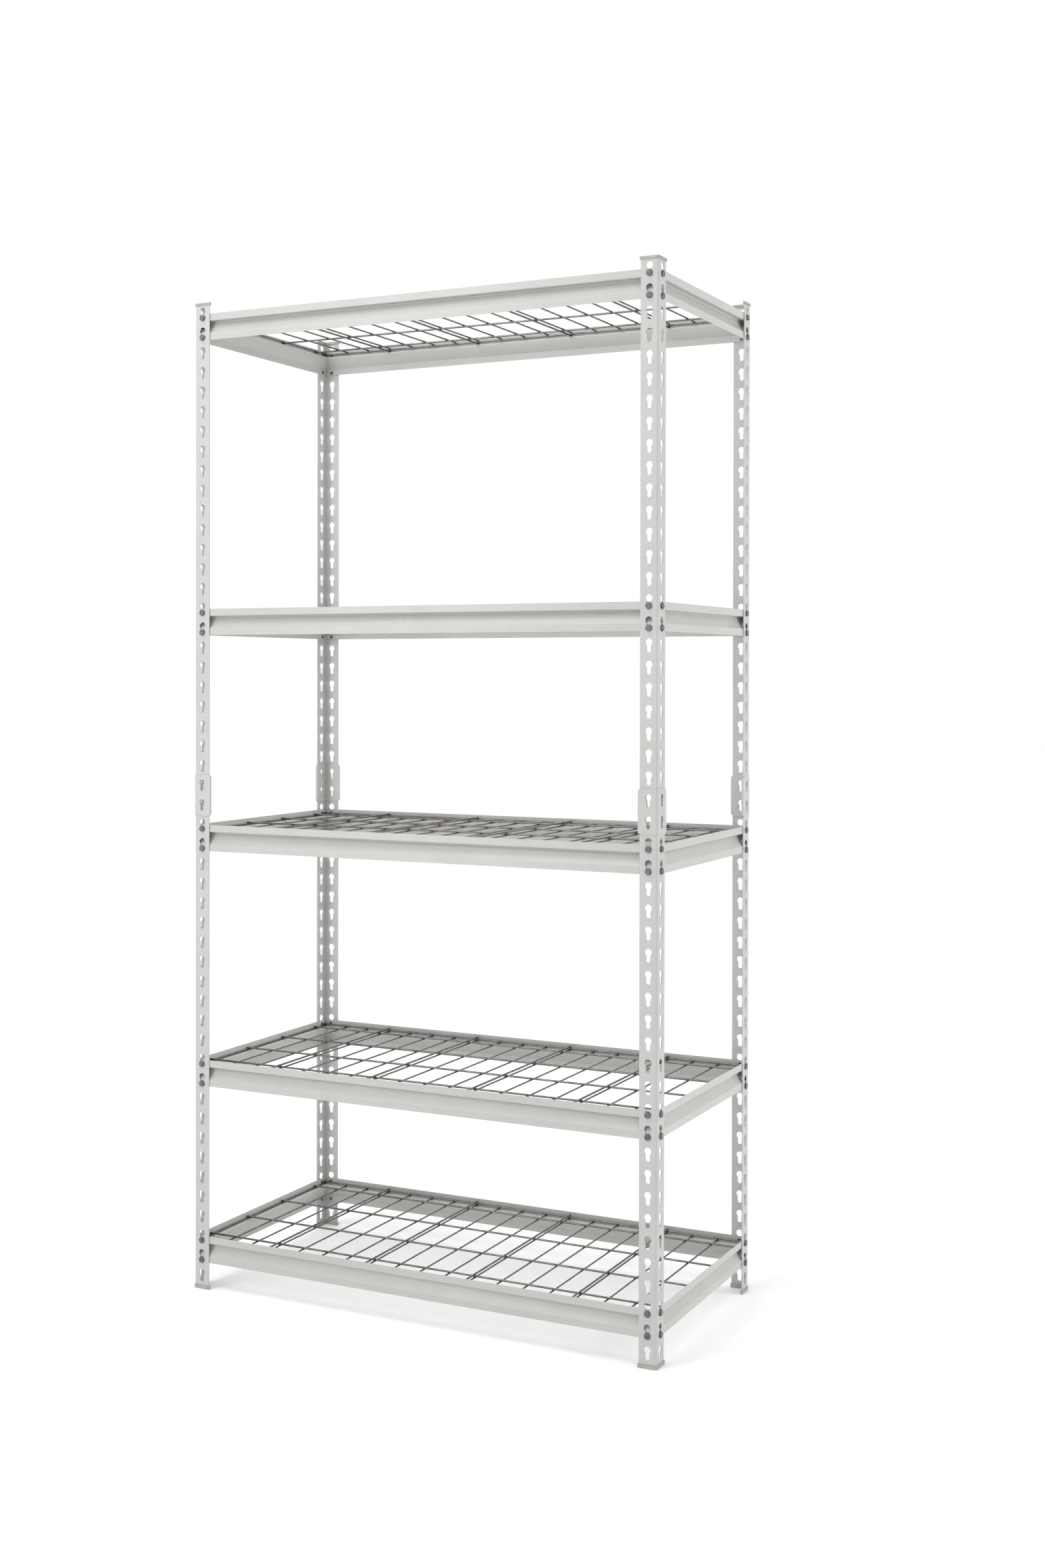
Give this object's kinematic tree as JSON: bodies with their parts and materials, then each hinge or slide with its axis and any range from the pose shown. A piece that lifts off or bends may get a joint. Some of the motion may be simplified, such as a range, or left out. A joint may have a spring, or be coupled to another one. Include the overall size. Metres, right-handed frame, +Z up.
{
  "type": "boltless steel shelving",
  "caption": "Tall free-standing rack of keyhole-punched angle posts with rivet-hung sigma beams and loose welded wire decks.",
  "frame": {"origin": "centre of the footprint, on the floor", "axes": "+Z up, +Y to the back, +X to the right seen from the front"},
  "size_m": [0.932, 0.456, 1.829],
  "materials": {
    "post_paint": "light grey powder coat, satin, with a fine texture",
    "connector_paint": "light grey powder coat, satin",
    "beam_paint": "light grey powder coat, satin, with a fine texture",
    "cap_plastic": "moulded grey plastic",
    "rivet_zinc": "zinc-plated steel",
    "deck_wire": "drawn, zinc-plated wire"
  },
  "bodies": {
    "frame": {"post_lower_front_left": "post_paint", "post_upper_front_left": "post_paint", "post_connector_front_left": "connector_paint", "top_cap_front_left": "cap_plastic", "foot_front_left": "cap_plastic", "post_lower_front_right": "post_paint", "post_upper_front_right": "post_paint", "post_connector_front_right": "connector_paint", "top_cap_front_right": "cap_plastic", "foot_front_right": "cap_plastic", "post_lower_rear_right": "post_paint", "post_upper_rear_right": "post_paint", "post_connector_rear_right": "connector_paint", "top_cap_rear_right": "cap_plastic", "foot_rear_right": "cap_plastic", "post_lower_rear_left": "post_paint", "post_upper_rear_left": "post_paint", "post_connector_rear_left": "connector_paint", "top_cap_rear_left": "cap_plastic", "foot_rear_left": "cap_plastic"},
    "shelf_1": {"shelf_1_beam_front": "beam_paint", "shelf_1_beam_right": "beam_paint", "shelf_1_beam_back": "beam_paint", "shelf_1_beam_left": "beam_paint", "shelf_1_rivets": "rivet_zinc"},
    "deck_1": {"shelf_1_wire_deck": "deck_wire"},
    "shelf_2": {"shelf_2_beam_front": "beam_paint", "shelf_2_beam_right": "beam_paint", "shelf_2_beam_back": "beam_paint", "shelf_2_beam_left": "beam_paint", "shelf_2_rivets": "rivet_zinc"},
    "deck_2": {"shelf_2_wire_deck": "deck_wire"},
    "shelf_3": {"shelf_3_beam_front": "beam_paint", "shelf_3_beam_right": "beam_paint", "shelf_3_beam_back": "beam_paint", "shelf_3_beam_left": "beam_paint", "shelf_3_rivets": "rivet_zinc"},
    "deck_3": {"shelf_3_wire_deck": "deck_wire"},
    "shelf_4": {"shelf_4_beam_front": "beam_paint", "shelf_4_beam_right": "beam_paint", "shelf_4_beam_back": "beam_paint", "shelf_4_beam_left": "beam_paint", "shelf_4_rivets": "rivet_zinc"},
    "deck_4": {"shelf_4_wire_deck": "deck_wire"},
    "shelf_5": {"shelf_5_beam_front": "beam_paint", "shelf_5_beam_right": "beam_paint", "shelf_5_beam_back": "beam_paint", "shelf_5_beam_left": "beam_paint", "shelf_5_rivets": "rivet_zinc"},
    "deck_5": {"shelf_5_wire_deck": "deck_wire"}
  },
  "joints": [
    {"name": "shelf_1_unlock", "type": "slide", "parent": "frame", "child": "shelf_1", "axis": [0, 0, 1], "range_m": [0, 0.012]},
    {"name": "deck_1_lift", "type": "slide", "parent": "shelf_1", "child": "deck_1", "axis": [0, 0, 1], "range_m": [0, 0.06]},
    {"name": "shelf_2_unlock", "type": "slide", "parent": "frame", "child": "shelf_2", "axis": [0, 0, 1], "range_m": [0, 0.012]},
    {"name": "deck_2_lift", "type": "slide", "parent": "shelf_2", "child": "deck_2", "axis": [0, 0, 1], "range_m": [0, 0.06]},
    {"name": "shelf_3_unlock", "type": "slide", "parent": "frame", "child": "shelf_3", "axis": [0, 0, 1], "range_m": [0, 0.012]},
    {"name": "deck_3_lift", "type": "slide", "parent": "shelf_3", "child": "deck_3", "axis": [0, 0, 1], "range_m": [0, 0.06]},
    {"name": "shelf_4_unlock", "type": "slide", "parent": "frame", "child": "shelf_4", "axis": [0, 0, 1], "range_m": [0, 0.012]},
    {"name": "deck_4_lift", "type": "slide", "parent": "shelf_4", "child": "deck_4", "axis": [0, 0, 1], "range_m": [0, 0.06]},
    {"name": "shelf_5_unlock", "type": "slide", "parent": "frame", "child": "shelf_5", "axis": [0, 0, 1], "range_m": [0, 0.012]},
    {"name": "deck_5_lift", "type": "slide", "parent": "shelf_5", "child": "deck_5", "axis": [0, 0, 1], "range_m": [0, 0.06]}
  ]
}
